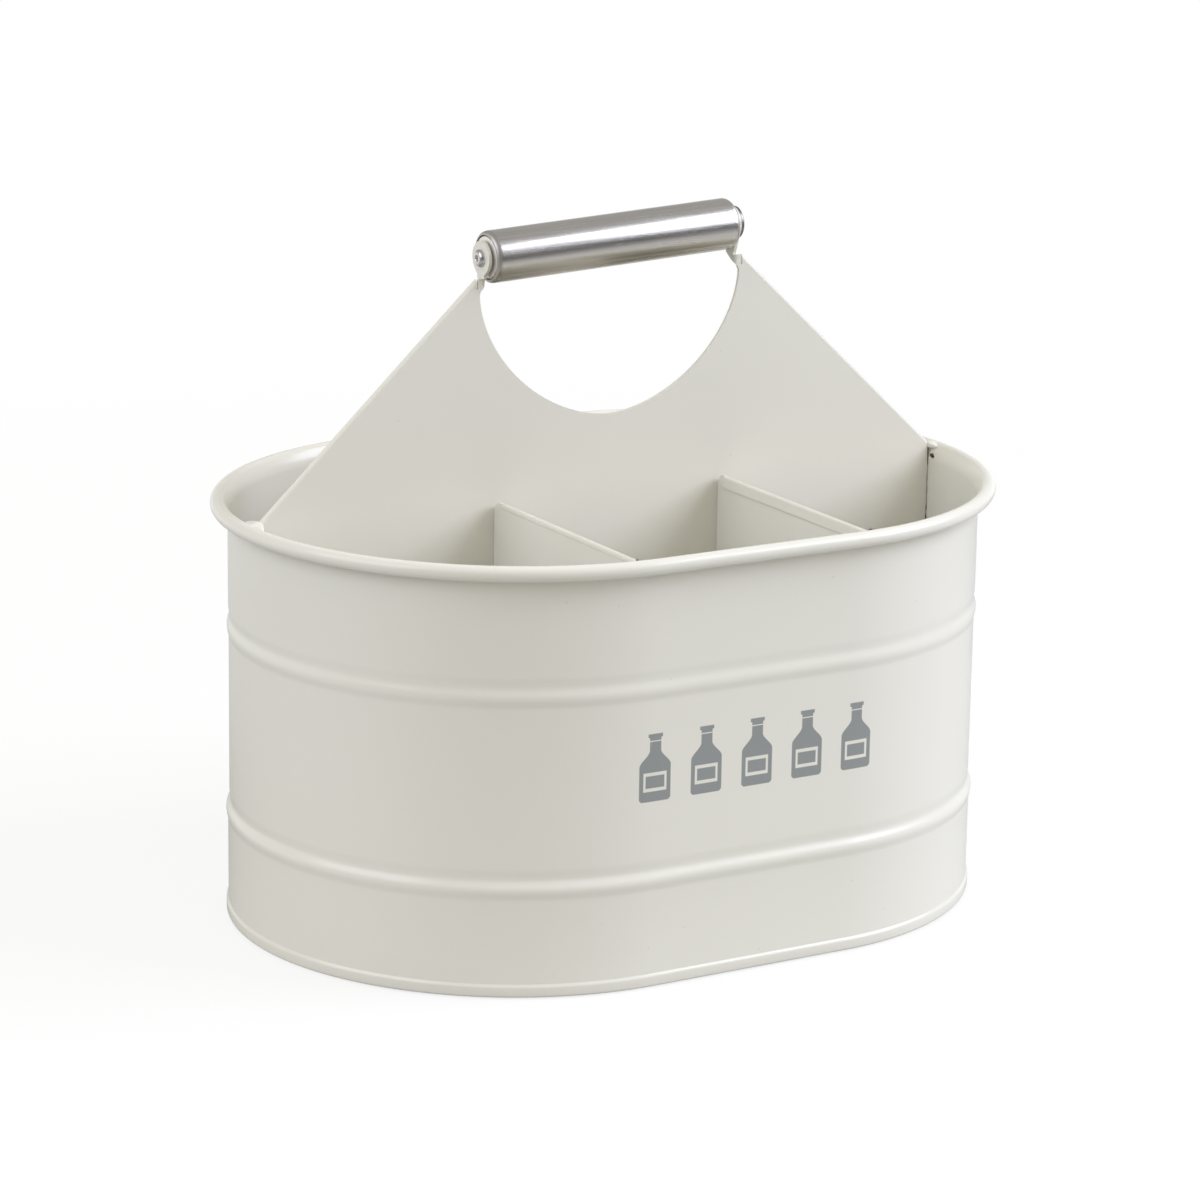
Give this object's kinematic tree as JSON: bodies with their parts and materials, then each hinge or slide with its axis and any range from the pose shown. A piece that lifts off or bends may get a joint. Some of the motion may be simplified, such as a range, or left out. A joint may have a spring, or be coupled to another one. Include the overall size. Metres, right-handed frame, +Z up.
{
  "type": "bottle holder",
  "caption": "Oval sheet-steel bottle carrier with a rolled rim, upright dividers and a loose tube grip over a scooped hand gap.",
  "frame": {"origin": "on the table, below the middle of the oval tub", "axes": "+X along the tub and the grip, +Z up, -Y towards the side that faces the viewer in the picture"},
  "size_m": [0.2504, 0.1834, 0.2156],
  "materials": {
    "cream_enamel": "glossy baked enamel, cream, slight orange peel",
    "wire_steel": "plain drawn wire, hidden in the rim",
    "brushed_tube": "lengthways brushed stainless tube",
    "polished_plug": "polished domed plug",
    "rivet_steel": "bright pressed rivet",
    "washer_steel": "dark zinc-plated washer"
  },
  "bodies": {
    "caddy": {"tub_wall": "cream_enamel", "rim_wire": "wire_steel", "base_pan": "cream_enamel", "centre_divider": "cream_enamel", "cross_divider_left": "cream_enamel", "cross_divider_right": "cream_enamel", "handle_rod": "rivet_steel", "rod_washer": "washer_steel"},
    "grip": {"handle_tube": "brushed_tube", "end_plug_left": "polished_plug", "end_plug_right": "polished_plug"}
  },
  "joints": [
    {"name": "grip_spin", "type": "hinge", "parent": "caddy", "child": "grip", "pos_m": [0, 0.0016, 0.2059], "axis": [0.9991, 0, 0.0431], "continuous": true}
  ]
}
